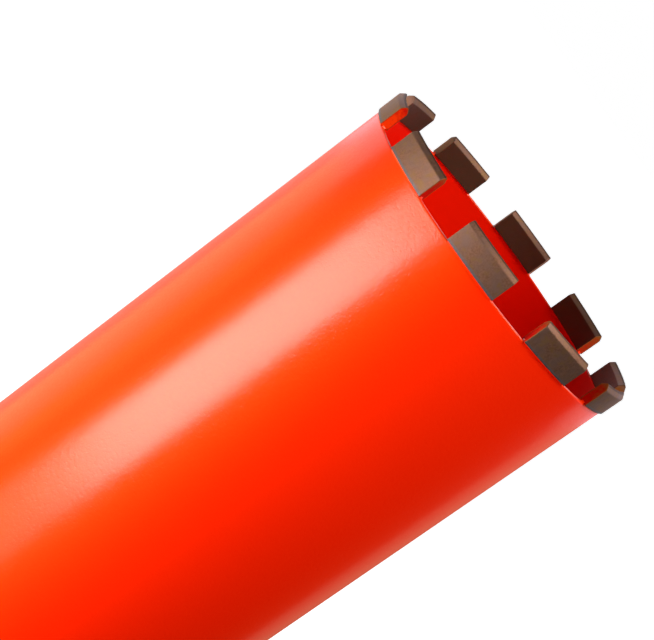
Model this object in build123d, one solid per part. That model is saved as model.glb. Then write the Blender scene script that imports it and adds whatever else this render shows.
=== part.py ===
from build123d import *
import os
from math import cos, degrees, radians

# Wet diamond core bit, standing on its drive hub with the crown up.
# Millimetres. +Z runs along the tool axis from the hub to the crown.
# The origin is the centre of the hub's rear face, which is also the face the tool stands on.

# Barrel: a plain steel tube
barrel_outer_radius = 65.25
barrel_wall = 2.0
barrel_length = 393.5
rim_chamfer = 0.3          # broken edges of the cut rim

# Diamond segments
segment_count = 10
segment_thickness = 3.5
segment_length = 24.0      # along its outer face
segment_height = 10.5
roof_height = 1.8          # height of the two bevels of the roof-shaped crown
roof_land = 0.7            # flat left between the bevels

# Braze that joins segment and rim
braze_gap = 0.2            # thickness of the layer under a segment
braze_leg = 0.6            # leg of the fillets round the segment's foot

# Back plate
flange_thickness = 6.0     # the part behind the barrel
register_depth = 6.0       # the part inside the barrel
plate_edge = 1.0           # chamfer on the plate's outer and inner rims

# Drive hub, bored for a 1 1/4"-7 UNC female thread
hub_radius = 25.0
hub_length = 40.0          # from its rear face to the back plate
hub_edge = 1.5             # chamfer round its rear face
thread_minor_radius = 14.05
thread_lead = 2.15         # countersink at both mouths of the bore, out to the thread's major radius
spigot_radius = 20.0       # the part that passes through the back plate
wrench_width = 41.0        # across the two flats
wrench_length = 18.0       # of each flat, along the axis
wrench_start = 10.0        # from the rear face to the flats

# Weld beads
groove_depth = 1.5         # half of the V between barrel and plate
bead_crown = 0.6           # how far a bead bulges out of its groove or fillet
hub_bead_leg = 5.0

# Fits
slip_clearance = 0.05      # radial, between a spigot and the bore it enters

# Places that follow from the sizes above
barrel_inner_radius = barrel_outer_radius - barrel_wall
barrel_middle_radius = barrel_outer_radius - barrel_wall / 2
plate_z = hub_length
barrel_z = plate_z + flange_thickness
plate_top_z = barrel_z + register_depth
rim_z = barrel_z + barrel_length
foot_z = rim_z + braze_gap
segment_outer_radius = barrel_middle_radius + segment_thickness / 2
segment_inner_radius = barrel_middle_radius - segment_thickness / 2
segment_arc = degrees(segment_length / segment_outer_radius)
segment_pitch = 360.0 / segment_count
overhang = (segment_thickness - barrel_wall) / 2
braze_skirt = min(braze_leg, overhang)


def turned(outline, arc=360.0):
    """A closed outline of (radius, height) turned round the tool axis, from +X towards +Y."""
    return revolve(Plane.XZ * make_face(outline), Axis.Z, revolution_arc=arc)


def polygon(*points):
    """The edges of a closed straight-sided outline."""
    return Polyline(*points, close=True).edges()


def make_barrel():
    """The tube, bevelled at its rear end for the weld and with broken edges at the rim."""
    return turned(polygon(
        (barrel_inner_radius, barrel_z),
        (barrel_outer_radius - groove_depth, barrel_z),
        (barrel_outer_radius, barrel_z + groove_depth),
        (barrel_outer_radius, rim_z - rim_chamfer),
        (barrel_outer_radius - rim_chamfer, rim_z),
        (barrel_inner_radius + rim_chamfer, rim_z),
        (barrel_inner_radius, rim_z - rim_chamfer),
    ))


def make_back_plate():
    """The plate: a flange that meets the end of the tube and a register that enters it."""
    hole_radius = spigot_radius + slip_clearance
    register_radius = barrel_inner_radius - slip_clearance
    return turned(polygon(
        (hole_radius, plate_z),
        (barrel_outer_radius - plate_edge, plate_z),
        (barrel_outer_radius, plate_z + plate_edge),
        (barrel_outer_radius, barrel_z - groove_depth),
        (barrel_outer_radius - groove_depth, barrel_z),
        (register_radius, barrel_z),
        (register_radius, plate_top_z - plate_edge),
        (register_radius - plate_edge, plate_top_z),
        (hole_radius, plate_top_z),
    ))


def make_drive_hub():
    """The hub: a collar with two wrench flats, a shoulder on the plate and a spigot through it."""
    mouth_radius = thread_minor_radius + thread_lead
    hub = turned(polygon(
        (mouth_radius, 0),
        (hub_radius - hub_edge, 0),
        (hub_radius, hub_edge),
        (hub_radius, plate_z),
        (spigot_radius, plate_z),
        (spigot_radius, plate_top_z),
        (mouth_radius, plate_top_z),
        (thread_minor_radius, plate_top_z - thread_lead),
        (thread_minor_radius, thread_lead),
    ))
    milled = Box(hub_radius, 2 * hub_radius, wrench_length, align=(Align.MIN, Align.CENTER, Align.MIN))
    for side in (0, 180):
        hub -= Rot(0, 0, side) * Pos(wrench_width / 2, 0, wrench_start) * milled
    return hub


def make_barrel_weld():
    """The bead that fills the V between the tube and the back plate, with a low crown."""
    return turned(polygon(
        (barrel_outer_radius - groove_depth, barrel_z),
        (barrel_outer_radius, barrel_z - groove_depth),
        (barrel_outer_radius + bead_crown, barrel_z - groove_depth / 2),
        (barrel_outer_radius + bead_crown, barrel_z + groove_depth / 2),
        (barrel_outer_radius, barrel_z + groove_depth),
    ))


def make_hub_weld():
    """The fillet bead round the hub on the plate's rear face, with its middle raised."""
    middle = hub_bead_leg / 2 + bead_crown * cos(radians(45))
    return turned(polygon(
        (hub_radius, plate_z),
        (hub_radius + hub_bead_leg, plate_z),
        (hub_radius + middle, plate_z - middle),
        (hub_radius, plate_z - hub_bead_leg),
    ))


def make_segment():
    """One diamond segment, centred on +X, with its two bevels and the land between them."""
    bevel = (segment_thickness - roof_land) / 2
    crown_z = foot_z + segment_height
    shoulder_z = crown_z - roof_height
    block = turned(polygon(
        (segment_inner_radius, foot_z),
        (segment_outer_radius, foot_z),
        (segment_outer_radius, shoulder_z),
        (segment_outer_radius - bevel, crown_z),
        (segment_inner_radius + bevel, crown_z),
        (segment_inner_radius, shoulder_z),
    ), segment_arc)
    return Rot(0, 0, -segment_arc / 2) * block


def make_braze_seam():
    """The braze of one segment, centred on +X: a saddle over the rim and a fillet at each end."""
    saddle = Rot(0, 0, -segment_arc / 2) * turned(polygon(
        (barrel_inner_radius - braze_skirt, foot_z),
        (barrel_outer_radius + braze_skirt, foot_z),
        (barrel_outer_radius, foot_z - braze_skirt),
        (barrel_outer_radius, rim_z - rim_chamfer),
        (barrel_outer_radius - rim_chamfer, rim_z),
        (barrel_inner_radius + rim_chamfer, rim_z),
        (barrel_inner_radius, rim_z - rim_chamfer),
        (barrel_inner_radius, foot_z - braze_skirt),
    ), segment_arc)
    land = barrel_wall - 2 * rim_chamfer
    fillet_face = Plane.YZ * make_face(polygon((0, 0), (braze_leg, 0), (0, braze_gap + braze_leg)))
    end_fillet = Pos(barrel_inner_radius + rim_chamfer, 0, rim_z) * extrude(fillet_face, land)
    far_end = Rot(0, 0, segment_arc / 2) * end_fillet
    near_end = mirror(far_end, Plane.XZ)
    return saddle + far_end + near_end


def around_crown(name, shape):
    """Copies of a piece that sits on the crown, one at each segment's place."""
    return {f"{name}_{k + 1:02d}": Rot(0, 0, k * segment_pitch) * shape for k in range(segment_count)}


pieces = {
    "barrel": make_barrel(),
    "back_plate": make_back_plate(),
    "drive_hub": make_drive_hub(),
    "barrel_weld": make_barrel_weld(),
    "hub_weld": make_hub_weld(),
    **around_crown("segment", make_segment()),
    **around_crown("braze_seam", make_braze_seam()),
}

os.makedirs("parts", exist_ok=True)
for node, shape in pieces.items():
    export_step(shape, f"parts/{node}.step")
    print(node, "volume", round(shape.volume, 1), "mm3")
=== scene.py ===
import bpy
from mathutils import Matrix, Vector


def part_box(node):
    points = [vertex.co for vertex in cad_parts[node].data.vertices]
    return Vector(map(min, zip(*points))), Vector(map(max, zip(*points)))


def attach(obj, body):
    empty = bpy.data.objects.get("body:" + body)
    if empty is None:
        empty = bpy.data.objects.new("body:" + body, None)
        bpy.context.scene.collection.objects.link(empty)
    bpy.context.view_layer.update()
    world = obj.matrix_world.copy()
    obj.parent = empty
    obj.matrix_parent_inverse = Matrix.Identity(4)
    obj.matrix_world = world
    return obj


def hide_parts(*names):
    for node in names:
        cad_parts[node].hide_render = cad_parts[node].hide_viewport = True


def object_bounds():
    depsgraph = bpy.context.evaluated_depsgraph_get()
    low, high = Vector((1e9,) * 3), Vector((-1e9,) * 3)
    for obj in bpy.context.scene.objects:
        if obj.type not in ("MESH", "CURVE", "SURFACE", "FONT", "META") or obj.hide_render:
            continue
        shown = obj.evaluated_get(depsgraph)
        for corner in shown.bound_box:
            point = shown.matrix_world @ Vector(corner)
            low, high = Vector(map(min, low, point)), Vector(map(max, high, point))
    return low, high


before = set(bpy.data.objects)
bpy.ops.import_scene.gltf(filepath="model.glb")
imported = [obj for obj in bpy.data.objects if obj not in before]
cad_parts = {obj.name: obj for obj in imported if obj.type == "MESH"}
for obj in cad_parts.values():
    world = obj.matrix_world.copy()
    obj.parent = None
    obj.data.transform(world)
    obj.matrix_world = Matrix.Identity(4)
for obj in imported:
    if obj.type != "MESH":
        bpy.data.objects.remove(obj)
cad_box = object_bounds()
bit_length = cad_box[1].z - cad_box[0].z
print(len(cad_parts), "measured pieces; the bit is", round(bit_length * 1000, 1), "mm long")

# %% [markdown]
# # A wet diamond core bit, dressed in Blender
#
# A core bit is a thin steel tube with hard diamond blocks round its mouth. It cuts a ring in wet concrete,
# and the core comes away inside the tube. The measured model already gives every piece its real size and
# place. This lesson gives those pieces their finish: satin enamel, sintered metal, turned steel and weld
# metal.
#
# Everything is in metres, +Z runs along the tool from the hub to the crown, and the bit stands on its hub
# at z = 0.

# %% Tools and units
import bmesh
import bpy
from math import atan2, cos, floor, hypot, pi, radians, sin, tau
from mathutils import Matrix, Vector, noise

mm = 0.001

# %% [markdown]
# ## Sizes taken from the model
#
# The boxes of the measured pieces give the tube's radius, the heights of the rim and of the crown, and the
# faces of plate and hub. Only what a box can't tell, such as the wall of the tube, is written here again.
# Reading sizes from the model, and not typing them twice, keeps both descriptions of the tool together.

# %% Read the sizes
barrel_low, barrel_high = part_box("barrel")
segment_low, segment_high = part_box("segment_01")
plate_low, plate_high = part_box("back_plate")
_, hub_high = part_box("drive_hub")

barrel_radius = barrel_high.x
wall = 2.0 * mm
barrel_inner = barrel_radius - wall
seam_z = barrel_low.z
rim_z = barrel_high.z
foot_z = segment_low.z
crown_z = segment_high.z
hub_radius = hub_high.x

block_count = 10
block_outer = segment_high.x
block_thickness = 3.5 * mm
block_inner = block_outer - block_thickness
block_middle = block_outer - block_thickness / 2
block_length = 24.0 * mm
block_arc = block_length / block_outer
roof_height = 1.8 * mm
roof_land = 0.7 * mm
shoulder_z = crown_z - roof_height
print("tube", round(barrel_radius * 2000, 1), "mm across, crown", round(block_outer * 2000, 1), "mm across")

# %% [markdown]
# ## Turning, as on a lathe
#
# Tube, plate, hub and welds are all round, so each one starts as an outline of radius and height and is spun
# round the axis. A full spin joins its last ring to its first with use_merge, which leaves a closed skin with
# no seam. A cylinder primitive with loops cut into it could do the same, but an outline says more plainly
# what the section is.
#
# A smooth-shaded wall that ends in a small rounding needs a support ring close to the rounding. Without it
# the shading of the rounding would be smeared along the whole wall.

# %% Lathe helpers
def outline(bm, points, closed=True):
    """Vertices and edges through (radius, height) points, in the plane y = 0."""
    verts = [bm.verts.new((r, 0, z)) for r, z in points]
    pairs = list(zip(verts, verts[1:])) + ([(verts[-1], verts[0])] if closed else [])
    return verts, [bm.edges.new(pair) for pair in pairs]


def turn(points, steps):
    """A closed skin made by spinning a closed outline once round the tool axis."""
    bm = bmesh.new()
    verts, edges = outline(bm, points)
    bmesh.ops.spin(bm, geom=verts + edges, cent=(0, 0, 0), axis=(0, 0, 1), dvec=(0, 0, 0),
                   angle=tau, steps=steps, use_merge=True, use_duplicate=False)
    bmesh.ops.recalc_face_normals(bm, faces=bm.faces)
    return bm


def ring_edges(bm, radius, height, slack=0.02 * mm):
    """The edges of the circle at one radius and height."""
    def on_ring(v):
        return abs(v.co.z - height) < slack and abs(hypot(v.co.x, v.co.y) - radius) < slack
    return [e for e in bm.edges if all(on_ring(v) for v in e.verts)]


def round_rings(bm, rings, size):
    """Rounds each (radius, height) corner of a turned skin."""
    for radius, height in rings:
        bmesh.ops.bevel(bm, geom=ring_edges(bm, radius, height), offset=size, segments=3,
                        affect="EDGES", profile=0.5, material=-1)


# %% [markdown]
# ## Places round the rim, and pieces that ride
#
# The blocks and their braze are made on the +X side, and each is then turned to its place on the rim. The
# turning is done in the mesh, so that every finished piece keeps its object at the origin and its place in
# its mesh.
#
# A finished piece rides on the tool's one body. Where it stands for measured nodes, it says so by name.

# %% Turning and finishing helpers
def turn_about_axis(bm, angle, verts=None):
    """Turns a bmesh, or some of its vertices, about the tool axis."""
    matrix = Matrix.Rotation(angle, 3, "Z")
    bmesh.ops.rotate(bm, verts=verts or bm.verts, cent=(0, 0, 0), matrix=matrix)


def finished(name, bm, material, slot, *replaced, sharp=35):
    """Turns a bmesh into a piece that rides on the tool, and hides the measured nodes that it stands for."""
    mesh = bpy.data.meshes.new(name)
    bm.to_mesh(mesh)
    bm.free()
    mesh.shade_smooth()
    mesh.set_sharp_from_angle(angle=radians(sharp))
    mesh.materials.append(material)
    piece = bpy.data.objects.new(name, mesh)
    bpy.context.scene.collection.objects.link(piece)
    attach(piece, "root")
    if replaced:
        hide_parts(*replaced)
    return piece


def smoothstep(low, high, x):
    """0 below low, 1 above high and a soft step between them."""
    t = min(max((x - low) / (high - low), 0.0), 1.0)
    return t * t * (3 - 2 * t)


# %% [markdown]
# ## Building a finish from nodes
#
# Every finish here is one Principled shader fed by procedural patterns on Object coordinates. The pieces sit
# at the origin with their place in their mesh, so Object coordinates are metres on the tool, and a pattern
# has a real size. A small helper makes a node, sets its values and links its inputs in one call.

# %% Node helpers
class Finish:
    """A material under construction, with one Principled shader."""

    def __init__(self, name):
        self.material = bpy.data.materials.new(name)
        self.material.use_nodes = True
        self.tree = self.material.node_tree
        self.shader = self.tree.nodes["Principled BSDF"]
        self.place = self.add("ShaderNodeTexCoord").outputs["Object"]

    def add(self, kind, settings=None, **inputs):
        """A node with its settings and inputs; an input is a value or another node's output."""
        node = self.tree.nodes.new(kind)
        for key, value in (settings or {}).items():
            setattr(node, key, value)
        for key, value in inputs.items():
            self.feed(node.inputs[key.replace("_", " ")], value)
        return node

    def feed(self, socket, value):
        """Links an output to a socket, or sets the socket's own value."""
        if isinstance(value, bpy.types.NodeSocket):
            self.tree.links.new(value, socket)
        else:
            socket.default_value = value

    def set(self, **inputs):
        """Values or links on the shader itself."""
        for key, value in inputs.items():
            self.feed(self.shader.inputs[key.replace("_", " ")], value)

    def noise(self, scale, detail=3.0, roughness=0.5, vector=None):
        """A noise pattern with so many features to the metre, from 0 to 1."""
        node = self.add("ShaderNodeTexNoise", Vector=vector or self.place, Scale=scale, Detail=detail,
                        Roughness=roughness)
        return node.outputs["Fac"]

    def split(self):
        """The X, Y and Z of a place on the tool."""
        return self.add("ShaderNodeSeparateXYZ", Vector=self.place).outputs

    def radius(self):
        """The distance from the tool axis."""
        parts = self.split()
        squares = [self.math("MULTIPLY", parts[axis], parts[axis]) for axis in "XY"]
        return self.math("SQRT", self.math("ADD", *squares))

    def range(self, value, from_low, from_high, to_low, to_high, kind="LINEAR"):
        """A value carried from one range to another, and held at its ends."""
        node = self.add("ShaderNodeMapRange", {"interpolation_type": kind}, Value=value, From_Min=from_low,
                        From_Max=from_high, To_Min=to_low, To_Max=to_high)
        return node.outputs["Result"]

    def math(self, operation, *values):
        """One arithmetic step."""
        node = self.add("ShaderNodeMath", {"operation": operation})
        for socket, value in zip(node.inputs, values):
            self.feed(socket, value)
        return node.outputs[0]

    def blend(self, share, first, second):
        """A colour between two colours."""
        node = self.add("ShaderNodeMix", {"data_type": "RGBA"})
        rgba_sockets = (0, 6, 7)      # among the node's inputs, which hold those of its other data types too
        for socket, value in zip(rgba_sockets, (share, first, second)):
            self.feed(node.inputs[socket], value)
        return node.outputs[2]

    def bump(self, height, distance):
        """A bump of so many metres."""
        return self.add("ShaderNodeBump", Height=height, Distance=distance, Strength=1.0).outputs["Normal"]


# %% [markdown]
# ## Finish: satin orange-red enamel
#
# The tube is sprayed inside and out with a saturated red enamel that looks orange where it shines. The
# pigment is a clear red, and the shine has two layers. A broad, orange-tinted reflection on the pigment
# turns the lit side orange. A thin clear coat above it reflects white, and gives the soft pale streak along
# the tube.
#
# Sprayed enamel dries with an orange peel: ripples about a millimetre wide and a few hundredths of a
# millimetre high, with small pits between them. One low bump under both layers, with a slight change of
# roughness, breaks up the edges of the streak as real peel does. A steeper bump would make the enamel look
# like leather.
#
# Inside the tube the spray lands half dry, so the same enamel is made again with less of its shine.

# %% Enamel
clear_red = (0.88, 0.000, 0.0, 1)
warmer_red = (0.92, 0.002, 0.0, 1)
orange_shine = (1.0, 0.66, 0.0, 1)
orange_bloom = (1.0, 0.45, 0.0, 1)
peel_per_metre = 950
pits_per_metre = 1300
drift_per_metre = 14
peel_height = 0.045 * mm


def make_enamel(name, gloss):
    """Sprayed enamel: an orange shine under a clear coat. gloss is the share of both that it has."""
    f = Finish(name)
    peel = f.noise(peel_per_metre, detail=3.0, roughness=0.65)
    pits = f.range(f.noise(pits_per_metre, detail=1.0), 0.55, 0.80, 0.0, 0.5)
    drift = f.noise(drift_per_metre, detail=2.0)
    skin = f.bump(f.math("SUBTRACT", peel, pits), peel_height)
    f.set(
        Base_Color=f.blend(drift, clear_red, warmer_red),
        Roughness=f.range(peel, 0.3, 0.7, 0.57, 0.66),
        Specular_IOR_Level=gloss,
        Specular_Tint=orange_shine,
        Coat_Weight=0.55 * gloss,
        Coat_Roughness=0.17,
        Coat_IOR=1.5,
        Sheen_Weight=0.06 * gloss,
        Sheen_Tint=orange_bloom,
        Normal=skin,
        Coat_Normal=skin,
    )
    return f.material


enamel = make_enamel("orange_red_enamel", 1.0)
dull_enamel = make_enamel("dull_enamel_inside", 0.3)
print("made", enamel.name, "and", dull_enamel.name)

# %% [markdown]
# ## Finish: sintered diamond metal
#
# A diamond block is metal powder and diamond grit, pressed and sintered. It is a dark, warm, matt metal.
# Grit makes it speckled, and clouds of greyer and more ochre metal run through it. Three zones differ from
# the rest. The foot holds no diamond, so its outer side is greyer. The inner face is darkened with painted
# shade, and the crest with a painted dark reflection. Each zone is laid over the last by height or by radius.

# %% The bare metal and its zones
dark_brown = (0.20, 0.095, 0.054, 1)
light_brown = (0.31, 0.152, 0.096, 1)
grey_brown = (0.22, 0.138, 0.115, 1)
ochre = (0.265, 0.143, 0.050, 1)
foot_grey = (0.19, 0.145, 0.14, 1)
# painted shade: the colour that darkens the inner face in place of the shade inside the ring of blocks
inner_painted_shade = (0.11, 0.045, 0.022, 1)
# painted reflection: the colour that darkens the crest in place of the dark room it reflects
crest_painted_reflection = (0.06, 0.026, 0.018, 1)
clouds_per_metre = 180
patches_per_metre = 420
foot_height = 1.1 * mm
foot_fade = 0.15 * mm
foot_wander = 0.3 * mm
wanders_of_foot_per_metre = 700
# the band of the crest that carries the painted dark reflection
crest_start = crown_z - 0.55 * mm
crest_full = crown_z - 0.35 * mm


def sinter_tones(f, grit):
    """Brown grit with greyer clouds and ochre patches."""
    cloud = f.noise(clouds_per_metre, detail=3.0)
    brown = f.blend(f.range(grit, 0.35, 0.65, 0.0, 1.0), dark_brown, light_brown)
    patches = f.noise(patches_per_metre, detail=2.0)
    clouded = f.blend(f.range(cloud, 0.35, 0.65, 0.0, 0.6), brown, grey_brown)
    return f.blend(f.range(patches, 0.50, 0.70, 0.0, 0.6), clouded, ochre)


def sinter_zones(f, metal):
    """The metal with its grey foot, painted shade on its inner face and a painted dark reflection on its
    crest.
    """
    height = f.split()["Z"]
    uneven = f.math("MULTIPLY_ADD", f.noise(wanders_of_foot_per_metre), foot_wander, height)
    foot_top = foot_z + foot_height
    foot = f.range(uneven, foot_top - foot_fade, foot_top + foot_fade, 1.0, 0.0, "SMOOTHSTEP")
    outside = f.range(f.radius(), block_inner + 0.2 * mm, block_outer - 0.2 * mm, 0.0, 1.0)
    metal = f.blend(f.math("MULTIPLY", foot, outside), metal, foot_grey)
    # Painted shade: the inner face below the shoulder is darkened in place of the shade inside the ring of
    # blocks.
    below_crown = f.range(height, shoulder_z - 0.3 * mm, shoulder_z, 0.8, 0.0)
    inside = f.range(f.radius(), block_inner + 0.1 * mm, block_inner + 0.5 * mm, 1.0, 0.0)
    metal = f.blend(f.math("MULTIPLY", inside, below_crown), metal, inner_painted_shade)
    # Painted reflection: the crest is darkened towards the crown in place of the dark room it reflects.
    crest = f.range(height, crest_start, crest_full, 0.0, 0.6)
    return f.blend(crest, metal, crest_painted_reflection)


# %% [markdown]
# ### The mist of enamel on the blocks
#
# The tube is sprayed after the blocks are fixed, so the ends of the blocks catch a mist of enamel that thins
# out towards the crown. It can't come from a height alone, because the faces beside it are clean, so each
# block's mesh carries it as a value called mist. The thinnest mist only stains the metal a rusty brown and
# takes its gleam, and where it lies thicker it is red paint.

# %% Sintered metal
rusty_stain = (0.25, 0.075, 0.012, 1)
thin_paint = (0.48, 0.003, 0.0, 1)
full_paint = (0.76, 0.030, 0.0, 1)
grit_per_metre = 1500
grit_height = 0.03 * mm
specks_per_metre = 900


def make_sinter():
    """Pressed and sintered metal with grit and enamel mist."""
    f = Finish("sintered_metal")
    grit = f.noise(grit_per_metre, detail=4.0, roughness=0.6)
    metal = sinter_zones(f, sinter_tones(f, grit))
    mist = f.add("ShaderNodeAttribute", {"attribute_name": "mist"}).outputs["Fac"]
    specks = f.noise(specks_per_metre, detail=3.0)
    speckle = f.math("MULTIPLY", mist, f.range(specks, 0.25, 0.75, 0.75, 1.25))
    covered = f.range(speckle, 0.02, 0.12, 0.0, 1.0)
    stained = f.blend(covered, metal, rusty_stain)
    tinted = f.range(speckle, 0.12, 0.45, 0.0, 1.0)
    paint = f.blend(f.range(speckle, 0.50, 0.90, 0.0, 1.0), thin_paint, full_paint)
    f.set(
        Base_Color=f.blend(tinted, stained, paint),
        Metallic=f.range(covered, 0.0, 1.0, 1.0, 0.0),
        Roughness=f.range(grit, 0.3, 0.7, 0.60, 0.74),
        Specular_IOR_Level=0.05,
        Normal=f.bump(grit, grit_height),
    )
    return f.material


sinter = make_sinter()
print("made", sinter.name)

# %% [markdown]
# ## Finish: turned steel
#
# The hub comes bare from the lathe. The cutting tool leaves fine rings that follow every surface, so they go
# by height on the round faces and by radius on the flat end. Adding the two gives rings on both.

# %% Turned steel
dark_steel = (0.40, 0.40, 0.41, 1)
light_steel = (0.50, 0.495, 0.49, 1)
ring_steel = (0.26, 0.26, 0.27, 1)
rings_per_metre = 6000
stains_per_metre = 90
ring_depth = 0.012 * mm


def make_turned_steel():
    """Bare steel with the fine rings of the lathe."""
    f = Finish("turned_steel")
    along = f.math("ADD", f.radius(), f.split()["Z"])
    ring_place = f.add("ShaderNodeCombineXYZ", X=along).outputs["Vector"]
    rings = f.noise(rings_per_metre, detail=2.0, vector=ring_place)
    stain = f.noise(stains_per_metre, detail=4.0)
    steel = f.blend(f.range(stain, 0.3, 0.7, 0.0, 1.0), dark_steel, light_steel)
    f.set(
        Base_Color=f.blend(f.range(rings, 0.3, 0.7, 0.0, 0.6), steel, ring_steel),
        Metallic=1.0,
        Roughness=f.range(stain, 0.3, 0.7, 0.26, 0.38),
        Normal=f.bump(rings, ring_depth),
    )
    return f.material


turned_steel = make_turned_steel()
print("made", turned_steel.name)

# %% [markdown]
# ## The barrel
#
# The barrel is a plain tube. What makes its mouth look real is the rim: the cut edge is broken and then
# rounded by the enamel, so it catches a thin line of light in every gap between the blocks. The wall inside
# takes the duller enamel, and is picked out by its faces pointing at the axis.

# %% Barrel
round_steps = 240
rim_round = 0.35 * mm
support = 0.8 * mm
weld_groove = 1.5 * mm


def make_barrel():
    """The tube, with rounded rim edges and its bevelled rear end."""
    bm = turn([
        (barrel_inner, seam_z),
        (barrel_radius - weld_groove, seam_z),
        (barrel_radius, seam_z + weld_groove),
        (barrel_radius, seam_z + weld_groove + support),
        (barrel_radius, rim_z - support),
        (barrel_radius, rim_z),
        (barrel_inner, rim_z),
        (barrel_inner, rim_z - support),
        (barrel_inner, seam_z + support),
    ], round_steps)
    round_rings(bm, [(barrel_radius, rim_z), (barrel_inner, rim_z)], rim_round)
    bm.normal_update()
    for face in bm.faces:
        towards_axis = face.normal @ face.calc_center_median() < -0.5 * barrel_inner
        face.material_index = 1 if towards_axis else 0
    tube = finished("barrel_tube", bm, enamel, "barrel_paint", "barrel")
    tube.data.materials.append(dull_enamel)
    return tube


barrel = make_barrel()
print("barrel:", len(barrel.data.polygons), "faces")

# %% [markdown]
# ## The diamond blocks
#
# A block starts as its section in the plane y = 0: a foot, two sides and a roof whose corners are soft
# curves. A grid of planes cuts it, so that its end faces are divided too. The section is then spun through
# the short arc that one block covers.

# %% The section of a block
cell = 0.5 * mm
cut_lines = [-1.25 * mm, -0.8 * mm, 0.8 * mm, 1.25 * mm]      # across the thickness, from its middle
shoulder_round = 0.35 * mm
crest_reach = 0.75 * mm
crest_land = 0.3 * mm


def cut(bm, place, normal):
    """Divides everything in the bmesh along a plane."""
    geom = list(bm.verts) + list(bm.edges) + list(bm.faces)
    bmesh.ops.bisect_plane(bm, geom=geom, dist=0.001 * mm, plane_co=place, plane_no=normal)


def soft_corner(before, corner, after, reach_before, reach_after, steps):
    """Points of a curve that rounds an outline's corner, from one reach before it to another after it."""
    corner = Vector(corner)
    start = corner + (Vector(before) - corner).normalized() * reach_before
    end = corner + (Vector(after) - corner).normalized() * reach_after
    shares = [k / steps for k in range(steps + 1)]
    return [tuple(start.lerp(corner, t).lerp(corner.lerp(end, t), t)) for t in shares]


def block_section(bm):
    """The block's section as a grid of faces."""
    bevel = (block_thickness - roof_land) / 2
    outer_low, outer_high = (block_outer, shoulder_z), (block_outer - bevel, crown_z)
    inner_low, inner_high = (block_inner, shoulder_z), (block_inner + bevel, crown_z)
    inner_foot, outer_foot = (block_inner, foot_z), (block_outer, foot_z)
    verts, _ = outline(bm, [
        inner_foot,
        outer_foot,
        *soft_corner(outer_foot, outer_low, outer_high, shoulder_round, shoulder_round, 4),
        *soft_corner(outer_low, outer_high, inner_high, crest_reach, crest_land, 7),
        *soft_corner(outer_high, inner_high, inner_low, crest_land, crest_reach, 7),
        *soft_corner(inner_high, inner_low, inner_foot, shoulder_round, shoulder_round, 4),
    ])
    bm.faces.new(verts)
    for offset in cut_lines:
        cut(bm, (block_middle + offset, 0, 0), (1, 0, 0))
    rows = int((shoulder_z - foot_z) / cell)
    for row in range(1, rows):
        cut(bm, (0, 0, foot_z + row * (shoulder_z - foot_z) / rows), (0, 0, 1))


# %% [markdown]
# ### How much mist a point has
#
# The mist is heavy low on the end faces, gets thinner towards the crown and at the edges of an end face, and
# is absent elsewhere. The spray gun doesn't reach all gaps alike, so each block has its own level.

# %% Mist of a point
mist_levels = [0.56, 0.50, 0.50, 0.15, 0.36, 0.10, 0.00, 0.04, 1.00, 0.52]     # of each block
lost_at_crown = 0.3            # the share of the mist that is gone near the crown
mist_top = crown_z - 1.0 * mm
edge_fade = (-0.1 * mm, 0.6 * mm)


def mist_at(co, end_share, level):
    """How much enamel mist a point carries, where end_share says how much it faces along the rim."""
    roof_share = max(co.z - shoulder_z, 0.0) / roof_height
    half_width = block_thickness / 2 * (1 - roof_share) + roof_land / 2 * roof_share
    to_edge = min(half_width - abs(hypot(co.x, co.y) - block_middle), crown_z - co.z)
    fall = 1.0 - lost_at_crown * smoothstep(foot_z, mist_top, co.z)
    return end_share * level * fall * smoothstep(*edge_fade, to_edge)


# %% [markdown]
# ### Making the ten blocks
#
# After the spin, the corners that are still sharp are rounded in one bevel, as tumbling in a drum rounds the
# real ones. Last, every point moves a few hundredths of a millimetre along its normal by a noise, so no two
# blocks are quite the same. The noise is shifted by the block's number and not by chance, so every run
# gives the same blocks.

# %% Diamond blocks
block_steps = 48
edge_round = 0.18 * mm
surface_wave = 0.03 * mm
waves_per_metre = 700
sharp_corner = radians(20)
end_facing = (0.35, 0.85)      # how squarely a face must look along the rim to catch no mist and all of it
block_turn = tau / block_count


def make_block(index):
    """One diamond block at its place on the rim."""
    bm = bmesh.new()
    block_section(bm)
    turn_about_axis(bm, -block_arc / 2)
    bmesh.ops.spin(bm, geom=list(bm.verts) + list(bm.edges) + list(bm.faces), cent=(0, 0, 0), axis=(0, 0, 1),
                   dvec=(0, 0, 0), angle=block_arc, steps=block_steps, use_duplicate=False)
    bmesh.ops.recalc_face_normals(bm, faces=bm.faces)
    corners = [e for e in bm.edges if e.calc_face_angle() > sharp_corner]
    bmesh.ops.bevel(bm, geom=corners, offset=edge_round, segments=3, affect="EDGES", profile=0.5, material=-1)
    middle = index * block_turn
    turn_about_axis(bm, middle)
    bm.normal_update()
    layer = bm.verts.layers.float.new("mist")
    along_rim = Vector((-sin(middle), cos(middle), 0))
    for v in bm.verts:
        v[layer] = mist_at(v.co, smoothstep(*end_facing, abs(v.normal @ along_rim)), mist_levels[index])
    shift = Vector((0, 0, 0.1 * index))
    for v in bm.verts:
        v.co += v.normal * surface_wave * noise.noise((v.co + shift) * waves_per_metre)
    number = f"{index + 1:02d}"
    return finished(f"diamond_block_{number}", bm, sinter, "segment_metal", f"segment_{number}")


blocks = [make_block(k) for k in range(block_count)]
print(len(blocks), "blocks of", len(blocks[0].data.polygons), "faces")

# %% [markdown]
# ## The braze under each block
#
# Braze runs into the corner under a block by itself and sets in a hollow curve. Each seam is a saddle over
# the rim with a hollow fillet along both sides, and a small hollow fillet against each end of the block. The
# enamel covers it.

# %% Hollow curves
braze_skirt = 0.6 * mm
fillet_points = 4


def hollow(corner_r, corner_z, out_r, out_z, size):
    """Points of a quarter curve that hugs a corner, from one leg to the other."""
    angles = [pi / 2 * k / fillet_points for k in range(fillet_points + 1)]
    return [(corner_r + out_r * size * (1 - sin(a)), corner_z + out_z * size * (1 - cos(a))) for a in angles]


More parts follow.
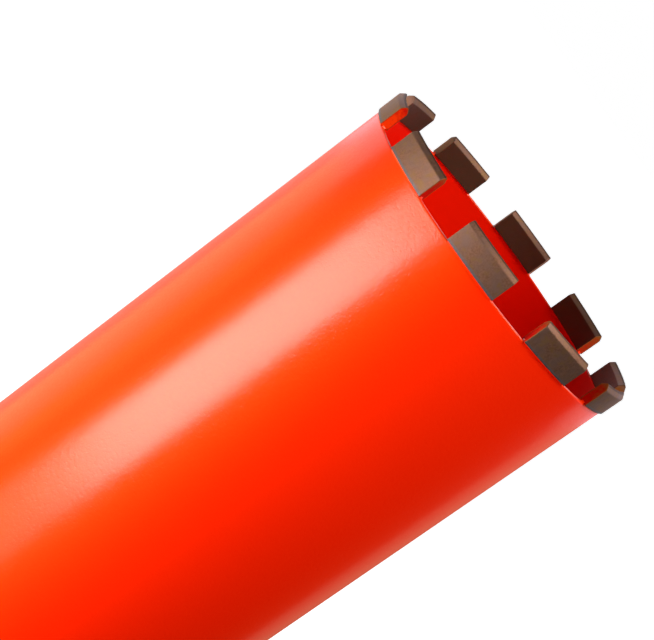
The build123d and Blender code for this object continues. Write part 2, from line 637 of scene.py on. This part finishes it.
def end_fillet(bm, side):
    """A hollow fillet between the rim and one end of the block."""
    leg = braze_skirt + foot_z - rim_z
    curve = hollow(0, rim_z, 1, 1, leg)
    first = [bm.verts.new((barrel_inner + rim_round, side * s, z)) for s, z in curve + [(0, rim_z)]]
    face = bm.faces.new(first)
    made = bmesh.ops.extrude_face_region(bm, geom=[face], use_keep_orig=True)["geom"]
    moved = [g for g in made if isinstance(g, bmesh.types.BMVert)]
    bmesh.ops.translate(bm, verts=moved, vec=(wall - 2 * rim_round, 0, 0))
    turn_about_axis(bm, side * block_arc / 2, first + moved)


# %% Braze seams
seam_steps = 24
saddle_setback = 0.4 * mm            # the saddle stops just short of the block's rounded ends
seam_arc = block_arc - 2 * saddle_setback / barrel_radius
tuck = 0.1 * mm                      # how far the saddle's hidden faces lie inside the tube's wall


def make_seam(index):
    """The braze of one block: a saddle over the rim and two end fillets."""
    bm = bmesh.new()
    seat_z = foot_z - braze_skirt
    section = hollow(barrel_radius, foot_z, 1, -1, braze_skirt)
    section += [(barrel_radius - tuck, seat_z), (barrel_radius - tuck, rim_z - tuck)]
    section += [(barrel_inner + tuck, rim_z - tuck), (barrel_inner + tuck, seat_z)]
    section += list(reversed(hollow(barrel_inner, foot_z, -1, -1, braze_skirt)))
    verts, edges = outline(bm, section)
    face = bm.faces.new(verts)
    turn_about_axis(bm, -seam_arc / 2)
    bmesh.ops.spin(bm, geom=verts + edges + [face], cent=(0, 0, 0), axis=(0, 0, 1), dvec=(0, 0, 0),
                   angle=seam_arc, steps=seam_steps, use_duplicate=False)
    for side in (-1, 1):
        end_fillet(bm, side)
    bmesh.ops.recalc_face_normals(bm, faces=bm.faces)
    turn_about_axis(bm, index * block_turn)
    number = f"{index + 1:02d}"
    return finished(f"braze_fillet_{number}", bm, enamel, "barrel_paint", f"braze_seam_{number}", sharp=50)


seams = [make_seam(k) for k in range(block_count)]
print(len(seams), "seams of", len(seams[0].data.polygons), "faces")

# %% [markdown]
# ## The weld beads
#
# A weld is laid as a row of overlapping pools, and each pool sets with a curved edge that trails the torch.
# The bead is turned as a plain low crown with many steps, and then each point moves out by a saw-like
# ripple. The ripple's phase is delayed towards the bead's sides, and that bends its edges into crescents.

# %% Ripples of a weld
ripple_pitch = 1.6 * mm
ripple_height = 0.16 * mm
ripple_steps = 6
ripple_delay = 0.55            # of a pitch, at the bead's sides
ripple_wander = 0.35           # of a pitch, as no hand is quite steady
wanders_per_metre = 90
still_edge = 0.97              # places across the bead past this stay where they are, and close it
still_depth = -0.4             # and so do those this far under its middle


def ripple(travel, across, seed):
    """The height of the weld's ripple at a distance along the bead and a place from -1 to 1 across it."""
    wander = ripple_wander * noise.noise(Vector((travel * wanders_per_metre, seed, 0)))
    phase = travel / ripple_pitch + ripple_delay * across * across + wander
    saw = 1 - (phase - floor(phase))
    return ripple_height * saw * (1 - across * across)


def turned_bead(face_points, back_points, radius, seed):
    """A bead whose face runs through face_points, rippled along its length."""
    steps = int(tau * radius / ripple_pitch) * ripple_steps
    bm = turn(face_points + back_points, steps)
    (first_r, first_z), (last_r, last_z) = face_points[0], face_points[-1]
    middle = Vector((sum(r for r, _ in face_points), sum(z for _, z in face_points))) / len(face_points)
    half = hypot(first_r - last_r, first_z - last_z) / 2
    chord = Vector((last_r - first_r, last_z - first_z)).normalized()
    outward = Vector((chord.y, -chord.x))
    for v in bm.verts:
        r, angle = hypot(v.co.x, v.co.y), atan2(v.co.y, v.co.x)
        place = Vector((r, v.co.z)) - middle
        across = (place @ chord) / half
        on_face = place @ outward > still_depth * half
        if on_face and abs(across) < still_edge:
            lift = outward * ripple((angle % tau) * radius, across, seed)
            v.co = Vector(((r + lift.x) * cos(angle), (r + lift.x) * sin(angle), v.co.z + lift.y))
    return bm


# %% Weld beads
bead_crown = 0.45 * mm         # without the ripple, which adds to it
bead_points = 8
bead_root = 0.2 * mm           # how deep the hub's bead reaches into the steel
hub_bead_leg = 5.0 * mm


def crowned(start, end):
    """Points of a low arc between two ends, bulging to the right of the way from start to end."""
    s, e = Vector(start), Vector(end)
    side = Vector((e.y - s.y, s.x - e.x)).normalized()
    shares = [k / bead_points for k in range(bead_points + 1)]
    return [tuple(s.lerp(e, t) + side * bead_crown * 4 * t * (1 - t)) for t in shares]


def make_barrel_weld():
    """The bead in the V between tube and plate."""
    face = crowned((barrel_radius, seam_z - weld_groove), (barrel_radius, seam_z + weld_groove))
    bm = turned_bead(face, [(barrel_radius - weld_groove, seam_z)], barrel_radius, seed=3.0)
    return finished("barrel_weld_bead", bm, enamel, "barrel_paint", "barrel_weld", sharp=60)


def make_hub_weld():
    """The fillet bead round the hub."""
    z = plate_low.z
    face = crowned((hub_radius, z - hub_bead_leg), (hub_radius + hub_bead_leg, z))
    bm = turned_bead(face, [(hub_radius - bead_root, z)], hub_radius + hub_bead_leg / 2, seed=8.0)
    return finished("hub_weld_bead", bm, enamel, "barrel_paint", "hub_weld", sharp=60)


welds = [make_barrel_weld(), make_hub_weld()]
print("weld beads:", [len(w.data.polygons) for w in welds], "faces")

# %% [markdown]
# ## The back plate
#
# The plate is a turned disc in two steps: a flange that the tube's end is welded to, and a register that
# enters the tube and centres it. The hub's spigot passes through its hole.

# %% Back plate
plate_edge = 1.0 * mm
slip = 0.05 * mm
spigot_radius = 20.0 * mm


def make_plate():
    """The flange and register that close the tube's rear end."""
    low, high = plate_low.z, plate_high.z
    register = barrel_inner - slip
    hole = spigot_radius + slip
    bm = turn([
        (hole, low),
        (barrel_radius - plate_edge, low),
        (barrel_radius, low + plate_edge),
        (barrel_radius, seam_z - weld_groove),
        (barrel_radius - weld_groove, seam_z),
        (register, seam_z),
        (register, high - plate_edge),
        (register - plate_edge, high),
        (hole, high),
    ], round_steps)
    return finished("rear_plate", bm, enamel, "barrel_paint", "back_plate", sharp=30)


plate = make_plate()
print("back plate:", len(plate.data.polygons), "faces")

# %% [markdown]
# ## The thread of the hub
#
# The hub screws onto the drill's spindle by a thread cut inside it. Its bore is turned at the thread's outer
# diameter, and the thread itself is a ridge, spun round the axis while it climbs one pitch a turn. Both ends
# of the ridge run out, as they do behind a tap.

# %% Hub thread
thread_major = 15.9 * mm
thread_minor = 14.05 * mm
thread_pitch = 25.4 * mm / 7   # seven turns to the inch
root_half = thread_pitch * 7 / 16
flank = 0.5774                 # rise of a 60 degree thread's flank to its depth
turn_steps = 48
thread_inset = 2.2 * mm        # plain bore left at each end
sunk = 0.05 * mm               # how far the ridge's root lies inside the steel
run_out = (-0.3, 0.5)          # in turns, from each end of the ridge


def add_thread(bm, top):
    """A right-hand ridge that climbs the bore, closed and run out at both ends."""
    crest_half = root_half - (thread_major - thread_minor) * flank
    start = thread_inset + root_half
    turns = int((top - 2 * start) / thread_pitch)
    before = set(bm.verts)
    verts, edges = outline(bm, [
        (thread_major + sunk, start - root_half),
        (thread_minor, start - crest_half),
        (thread_minor, start + crest_half),
        (thread_major + sunk, start + root_half),
    ])
    face = bm.faces.new(verts)
    bmesh.ops.spin(bm, geom=verts + edges + [face], cent=(0, 0, 0), axis=(0, 0, 1),
                   dvec=(0, 0, thread_pitch / turn_steps), angle=turns * tau, steps=turns * turn_steps,
                   use_duplicate=False)
    bmesh.ops.recalc_face_normals(bm, faces=[f for f in bm.faces if f.verts[0] not in before])
    for v in [v for v in bm.verts if v not in before]:
        r = hypot(v.co.x, v.co.y)
        climbed = min(max((v.co.z - start) / thread_pitch, 0.0), turns)
        ramp = smoothstep(*run_out, climbed) * smoothstep(*run_out, turns - climbed)
        if r < thread_major:
            wanted = thread_major - (thread_major - r) * ramp
            v.co.x *= wanted / r
            v.co.y *= wanted / r


# %% [markdown]
# ## The body of the hub
#
# The hub is turned, then two flats are milled across it for a spanner: the points of the milled zone that
# stand past the flats are moved in to them. The ledges above and below a flat come from rings that lie on
# each other before the milling and part there.

# %% Hub body
hub_steps = 144
hub_edge = 1.5 * mm
thread_lead = 0.35 * mm        # countersink at both mouths of the bore
flat_half = 20.5 * mm
flat_low = 10.0 * mm
flat_high = 28.0 * mm
mill_gap = 0.02 * mm           # between the rings that part at a ledge


def make_hub():
    """The hub with its bore at the thread's outer diameter and two milled flats."""
    top, shoulder = hub_high.z, plate_low.z
    bm = turn([
        (thread_major, thread_lead),
        (thread_major + thread_lead, 0),
        (hub_radius - hub_edge, 0),
        (hub_radius, hub_edge),
        (hub_radius, flat_low),
        (hub_radius, flat_low + mill_gap),
        (hub_radius, flat_high - mill_gap),
        (hub_radius, flat_high),
        (hub_radius, shoulder),
        (spigot_radius, shoulder),
        (spigot_radius, top),
        (thread_major + thread_lead, top),
        (thread_major, top - thread_lead),
    ], hub_steps)
    for v in bm.verts:
        if flat_low + mill_gap / 2 < v.co.z < flat_high - mill_gap / 2:
            v.co.x = min(max(v.co.x, -flat_half), flat_half)
            v.co.z = flat_low if v.co.z < (flat_low + flat_high) / 2 else flat_high
    bmesh.ops.remove_doubles(bm, verts=bm.verts, dist=mill_gap / 10)
    bmesh.ops.recalc_face_normals(bm, faces=bm.faces)
    add_thread(bm, top)
    return finished("threaded_hub", bm, turned_steel, "hub_steel", "drive_hub", sharp=25)


hub = make_hub()
print("hub with thread:", len(hub.data.polygons), "faces")

# %% [markdown]
# ## Floor and room
#
# The bit stands on a plain pale floor in a white room. To the camera and in reflections both are close to
# white, which comes from a light of their own that only those rays see. All other rays see a plain pale
# surface and a dimmer room, so the floor keeps the tool's shadow and lights the tool like paper.

# %% Studio helpers
def studio_material(name, **inputs):
    """A plain material of the studio, with values set on its shader."""
    material = bpy.data.materials.new(name)
    material.use_nodes = True
    shader = material.node_tree.nodes["Principled BSDF"]
    for key, value in inputs.items():
        shader.inputs[key.replace("_", " ")].default_value = value
    return material


def staged(name, bm, material):
    """Turns a bmesh into a part of the studio, which isn't part of the bit."""
    mesh = bpy.data.meshes.new(name)
    bm.to_mesh(mesh)
    bm.free()
    mesh.materials.append(material)
    thing = bpy.data.objects.new(name, mesh)
    bpy.context.scene.collection.objects.link(thing)
    return thing


def seen_share(tree):
    """1 for rays of the camera, in reflections and through glass, and 0 for all other light."""
    share = tree.nodes.new("ShaderNodeLightPath").outputs
    first, *others = [share[f"Is {kind} Ray"] for kind in ("Camera", "Glossy", "Transmission")]
    for other in others:
        either = tree.nodes.new("ShaderNodeMath")
        either.operation = "MAXIMUM"
        tree.links.new(first, either.inputs[0])
        tree.links.new(other, either.inputs[1])
        first = either.outputs[0]
    return first


# %% Floor
floor_white = 0.80
floor_glow = 0.75
floor_half = 30


def make_floor():
    """A wide pale floor that keeps the shadow and looks white."""
    material = studio_material("pale_floor", Base_Color=(floor_white, floor_white, floor_white, 1),
                               Roughness=0.9, Specular_IOR_Level=0.1, Emission_Color=(1, 1, 1, 1))
    tree = material.node_tree
    glow = tree.nodes.new("ShaderNodeMath")
    glow.operation = "MULTIPLY"
    glow.inputs[1].default_value = floor_glow
    tree.links.new(seen_share(tree), glow.inputs[0])
    tree.links.new(glow.outputs[0], tree.nodes["Principled BSDF"].inputs["Emission Strength"])
    bm = bmesh.new()
    bmesh.ops.create_grid(bm, x_segments=1, y_segments=1, size=floor_half)
    return staged("floor", bm, material)


floor_piece = make_floor()
print("floor", round(floor_piece.dimensions.x), "m wide")

# %% Room
room_light = 0.30


def make_world():
    """White to the eye and in reflections, and a dimmer even light on everything else."""
    world = bpy.data.worlds.new("studio")
    bpy.context.scene.world = world
    world.use_nodes = True
    tree = world.node_tree
    background = tree.nodes["Background"]
    background.inputs["Color"].default_value = (1, 1, 1, 1)
    level = tree.nodes.new("ShaderNodeMapRange")
    level.inputs["To Min"].default_value = room_light
    level.inputs["To Max"].default_value = 1.0
    tree.links.new(seen_share(tree), level.inputs["Value"])
    tree.links.new(level.outputs["Result"], background.inputs["Strength"])
    return world


print("room:", make_world().name)

# %% [markdown]
# ## Lamps
#
# Enamel is shown by what it reflects. The key lamp is an upright soft box beside the tool, and its reflection
# is the pale streak along the tube. The fill lamp is broad and evens out the shade, but leaves no reflection,
# which would grey the red. The overhead lamp looks down into the mouth of the tube and onto the crown.
#
# A lamp's power grows with its size, so each is given by its brightness as seen, and the watts follow.

# %% Lamps
def area_lamp(name, width, height, radiance):
    """A rectangular lamp; radiance is its brightness as seen."""
    lamp = bpy.data.lights.new(name, "AREA")
    lamp.shape = "RECTANGLE"
    lamp.size = width
    lamp.size_y = height
    lamp.energy = radiance * pi * width * height
    box = bpy.data.objects.new(name, lamp)
    bpy.context.scene.collection.objects.link(box)
    return box


def soft_box(name, azimuth, distance, low, high, width, radiance):
    """An upright lamp that stands between two heights and faces the tool axis."""
    box = area_lamp(name, width, high - low, radiance)
    a = radians(azimuth)
    box.location = (distance * cos(a), distance * sin(a), (low + high) / 2)
    box.rotation_euler = (pi / 2, 0, a + pi / 2)
    return box


def overhead_box(name, azimuth, elevation, distance, size, radiance):
    """A square lamp above the crown that faces the mouth of the tube."""
    box = area_lamp(name, size, size, radiance)
    a, e = radians(azimuth), radians(elevation)
    away = Vector((cos(e) * cos(a), cos(e) * sin(a), sin(e)))
    box.location = Vector((0, 0, rim_z)) + away * distance
    box.rotation_euler = away.to_track_quat("Z", "Y").to_euler()
    return box


key = soft_box("key_soft_box", azimuth=-42.7, distance=0.50, low=0.10, high=0.37, width=0.31, radiance=11.7)
fill = soft_box("fill_soft_box", azimuth=45, distance=0.90, low=0.0, high=1.0, width=1.30, radiance=2.6)
fill.visible_glossy = False
overhead = overhead_box("overhead_soft_box", azimuth=55, elevation=54, distance=0.9, size=0.5, radiance=12.5)
print("lamps", [round(lamp.data.energy, 1) for lamp in (key, fill, overhead)], "W")

# %% [markdown]
# ## Cards
#
# Nearly all else that the tool reflects is a bent card, which the camera doesn't see and which throws no
# shadow. Black cards take the white room out of the reflections, so the red stays deep and the metal dark.
# Many cards also lie on the floor round the tool as an apron, because a white floor shines up at the tube.
# Cards with a glow of their own then put light back where it is wanted, each in its own tone.
#
# Low cards act on the barrel, cards at the height of the crown on the faces of the blocks, and cards above
# it on their bevels.

# %% Card helpers
near_tool = 0.1
card_radius = 0.62
off_floor = 0.001


def apron(top, radius=card_radius):
    """The outline of a card that lies on the floor and stands up at its far side."""
    return [(near_tool, off_floor), (radius, off_floor), (radius, top)]


def upright(low, high, radius=card_radius):
    """The outline of a card that stands between two heights."""
    return [(radius, low), (radius, high)]


def card(name, start, end, points, glow=(0, 0, 0)):
    """A studio card, bent round the tool from one azimuth to another, with a light of its own."""
    material = studio_material(name, Base_Color=(0.0, 0.0, 0.0, 1), Specular_IOR_Level=0.0,
                               Emission_Color=(*glow, 1), Emission_Strength=1.0)
    bm = bmesh.new()
    verts, edges = outline(bm, points, closed=False)
    turn_about_axis(bm, radians(start))
    bmesh.ops.spin(bm, geom=verts + edges, cent=(0, 0, 0), axis=(0, 0, 1), dvec=(0, 0, 0),
                   angle=radians(end - start), steps=32, use_duplicate=False)
    sheet = staged(name, bm, material)
    sheet.visible_camera = False
    sheet.visible_shadow = False
    sheet.visible_transmission = False
    return sheet


# %% Black cards in front, behind and above
card("black_card_front", -25, 118, apron(1.1))
card("black_card_side", -99, -65, apron(0.6, radius=0.55))
card("black_card_left", -118, -25, upright(0.48, 1.2))
card("black_card_back", 140, 220, upright(0.74, 1.6, radius=0.9))
card("black_card_top", 0, 359, [(0.02, 1.45), (0.95, 1.45)])
print("black cards round the tool")

# %% [markdown]
# On the right, a weak grey card gives the barrel's dark flank its paler edge, between two black ones. A
# brighter one above them lights the outer faces of the blocks.

# %% Cards on the right
right_top = 0.345
card("black_card_right_low", 118, 127, apron(right_top))
card("grey_card_right", 127, 158, apron(right_top), glow=(0.26, 0.32, 0.22))
card("black_card_right_back", 158, 190, apron(right_top))
card("grey_card_right_high", 132, 180, upright(0.346, 0.47), glow=(0.85, 0.75, 0.85))
print("cards on the right, up to", right_top, "m for the barrel")

# %% [markdown]
# On the left, an orange card gives the orange band beside the streak, and a warm and a grey card make the
# barrel paler towards its edge.

# %% Cards on the left
left_top = 0.33
card("orange_card_left", -98, -84, upright(0.02, 0.32, radius=0.5), glow=(1.8, 1.35, 0.15))
card("warm_card_left", -130, -99, apron(left_top), glow=(1.5, 1.5, 0.72))
card("grey_card_left", -170, -130, apron(left_top), glow=(0.6, 0.52, 0.48))
print("cards on the left, up to", left_top, "m for the barrel")

# %% [markdown]
# Two white cards behind, above the crown, light the bevels of the outermost blocks. A white and a grey one
# at the height of the crown light the faces of the blocks on the left.

# %% Cards for the blocks
beside_bevels = upright(0.50, 0.72)
beside_faces = upright(0.331, 0.47)
card("white_card_back_left", -160, -128, beside_bevels, glow=(2.2, 2.3, 2.8))
card("white_card_back_right", 128, 160, beside_bevels, glow=(1.5, 1.6, 2.2))
card("white_card_left_high", -150, -99, beside_faces, glow=(1.5, 1.55, 1.8))
card("grey_card_left_high", -180, -150, beside_faces, glow=(0.7, 0.65, 0.7))

# %% [markdown]
# ## The camera
#
# A long lens stands a little above the mouth of the bit and looks slightly down into it. It is rolled over,
# so that the upright tool runs from the lower left to the upper right of the view.

# %% Camera
camera_place = Vector((0.56194, 0.01285, 0.50977))
look = Vector((-0.97229, -0.05217, -0.22786))
tool_lean = radians(36.34)     # of the tool axis above the view's lower edge
camera_data = bpy.data.cameras.new("camera")
camera_data.lens = 88.07
camera_data.sensor_width = 36.0
camera_data.clip_start = 0.01
camera = bpy.data.objects.new("camera", camera_data)
bpy.context.scene.collection.objects.link(camera)
level_view = look.to_track_quat("-Z", "Y").to_matrix()
roll = Matrix.Rotation(pi / 2 - tool_lean, 3, "Z")
camera.matrix_world = Matrix.Translation(camera_place) @ (level_view @ roll).to_4x4()
bpy.context.scene.camera = camera
bpy.context.scene.view_settings.view_transform = "Standard"
print("camera", [round(x, 3) for x in camera_place])
